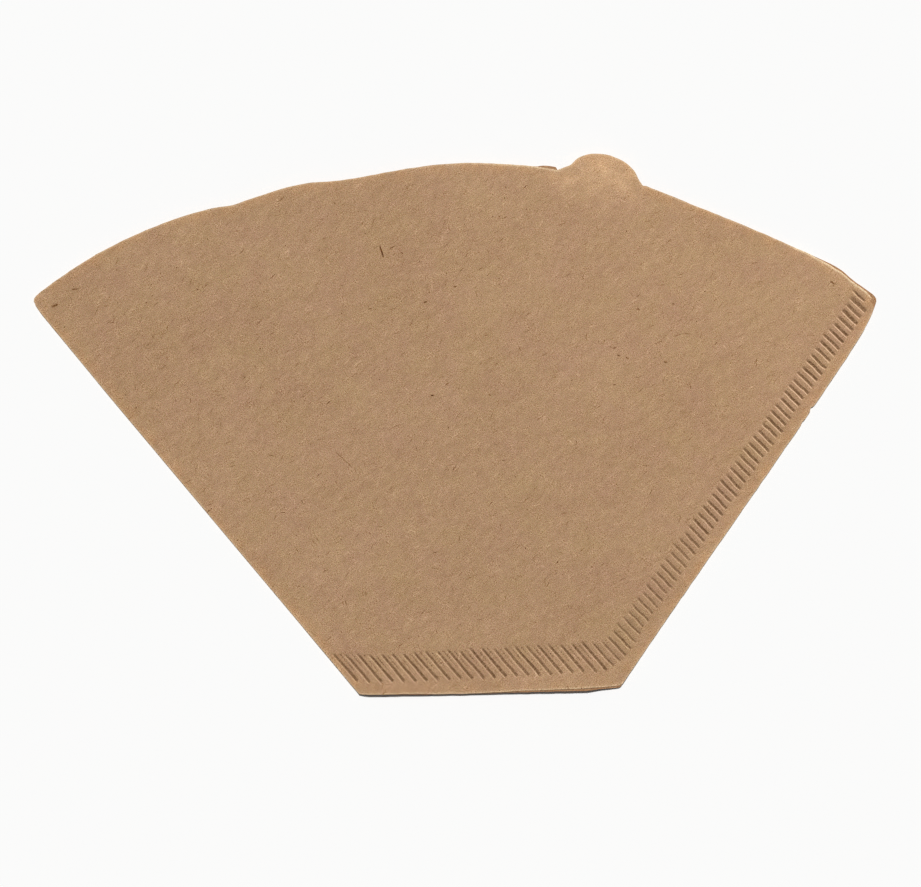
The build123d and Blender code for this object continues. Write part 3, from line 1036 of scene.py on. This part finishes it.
def paperMaterial():
    look = paperLook
    material = bpy.data.materials.new("kraftPaper")
    material.use_nodes = True
    tree = material.node_tree
    shader = tree.nodes["Principled BSDF"]
    setSockets(shader, {"Roughness": look["roughness"], "Specular IOR Level": look["shine"]})
    metres = node(tree, "ShaderNodeTexCoord").outputs["Object"]
    place = vectorMaths(tree, "SCALE", {"Vector": metres}, {"Scale": 1 / mm})

    tone, relief = paperTone(tree, place)
    # Painted highlight along the lit edge of each crimp mark
    tone = maths(tree, "ADD", tone, attribute(tree, "ridgeHighlight", look["ridgeHighlightStrength"]))
    tone = maths(tree, "SUBTRACT", tone, attribute(tree, "fleck", look["fleckShade"]))

    # Yellowish and pinkish patches, then the edges with their painted highlight and painted shade, the tab
    # with painted light through it, and the crimps with painted shade over them
    patch = noise(tree, place, 1 / look["patch"], look["patchDetail"], look["patchFine"])["Fac"]
    centred = maths(tree, "SUBTRACT", patch, 0.5)
    hue = levels(tree, centred, (look["patchContrast"], 0.5))
    colour = blended(tree, hue, look["yellow"], look["pink"])
    uneven = noise(tree, place, *look["uneven"])["Fac"]
    some = levels(tree, uneven, look["someUneven"])
    most = levels(tree, uneven, look["mostUneven"])
    mottled = levels(tree, noise(tree, place, *look["mottle"])["Fac"], look["pressedUneven"])
    for name, share in (("tab", most), ("warmEdge", some), ("backRimShade", look["rimShadeShare"]),
                        ("brownEdgeShade", most), ("creamEdgeHighlight", 1.0), ("pressed", mottled)):
        colour = blended(tree, attribute(tree, name, share), colour, look[name])

    # The coloured speckle and the pulp's light and dark over it all
    length, width, strength = look["speckle"]
    grain = stretched(tree, place, length, width, look["fibreWay"], look["speckleShift"])
    speckle = vectorMaths(tree, "SCALE", {"Vector": centredColour(tree, grain, 1.0)}, {"Scale": strength})
    total = vectorMaths(tree, "ADD", {0: speckle, 1: tone})
    light = sideLight(tree, place)
    factor = vectorMaths(tree, "MULTIPLY_ADD", {0: total, 2: light}, {1: look["channels"]})
    shaded = vectorMaths(tree, "MULTIPLY", {0: colour, 1: factor})
    tree.links.new(shaded, shader.inputs["Base Color"])
    depth = {"Strength": 1.0, "Distance": look["relief"] * mm}
    bump = node(tree, "ShaderNodeBump", depth, {"Height": relief})
    tree.links.new(bump.outputs["Normal"], shader.inputs["Normal"])
    return material


mesh.materials.append(paperMaterial())
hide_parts("paper_filter")
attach(sheet, "root")
print("paper material on", sheet.name)


studio = {
    "floorSize": 3.0,  # metres across
    "floorDrop": 0.02,  # under the sheet
    "floorColour": (0.955, 0.955, 0.95, 1),
    "floorRoughness": 0.9,
    "sunAzimuth": 92.0,  # where the key light stands, from +x towards the mouth
    "sunHeight": 65.0,
    "sunStrength": 3.15,
    "sunAngle": 6.0,
    "skyStrength": 0.10,
    "viewCentre": (-4.62, 48.95, 0.6),
    "viewWidth": 180.73,  # across the picture
    "lens": 85.0,
    "sensor": 36.0,
    "clip": (0.01, 10.0),  # metres
    "viewTurn": -1.046,
}


def makeFloor():
    size = studio["floorSize"] / 2
    low = -studio["floorDrop"] * mm
    floorMesh = bpy.data.meshes.new("floorPlane")
    corners = [(-size, -size, low), (size, -size, low), (size, size, low), (-size, size, low)]
    floorMesh.from_pydata(corners, [], [(0, 1, 2, 3)])
    floor = placed("studio_floor", floorMesh)
    material = bpy.data.materials.new("paleFloor")
    material.use_nodes = True
    shader = material.node_tree.nodes["Principled BSDF"]
    setSockets(shader, {"Base Color": studio["floorColour"], "Roughness": studio["floorRoughness"],
                        "Specular IOR Level": 0.0})
    floorMesh.materials.append(material)
    return floor


def makeLights():
    sun = bpy.data.lights.new("keySun", "SUN")
    sun.energy = studio["sunStrength"]
    sun.angle = math.radians(studio["sunAngle"])
    tilt = math.radians(90 - studio["sunHeight"])
    placed("keySun", sun).rotation_euler = (0, tilt, math.radians(studio["sunAzimuth"]))
    world = bpy.data.worlds.new("studioSky")
    world.use_nodes = True
    sky = {"Color": (1, 1, 1, 1), "Strength": studio["skyStrength"]}
    setSockets(world.node_tree.nodes["Background"], sky)
    bpy.context.scene.world = world


def makeCamera():
    camera = bpy.data.cameras.new("camera")
    camera.lens = studio["lens"]
    camera.sensor_width = studio["sensor"]
    cameraObject = placed("camera", camera)
    distance = studio["viewWidth"] * studio["lens"] / camera.sensor_width
    centre = np.array(studio["viewCentre"]) + origin
    cameraObject.location = (centre + (0, 0, distance)) * mm
    cameraObject.rotation_euler = (0, 0, math.radians(studio["viewTurn"]))
    camera.clip_start, camera.clip_end = studio["clip"]
    bpy.context.scene.camera = cameraObject


floor = makeFloor()
makeLights()
makeCamera()
bpy.context.scene.view_settings.view_transform = "Standard"
print("studio ready")

print("scene ready")
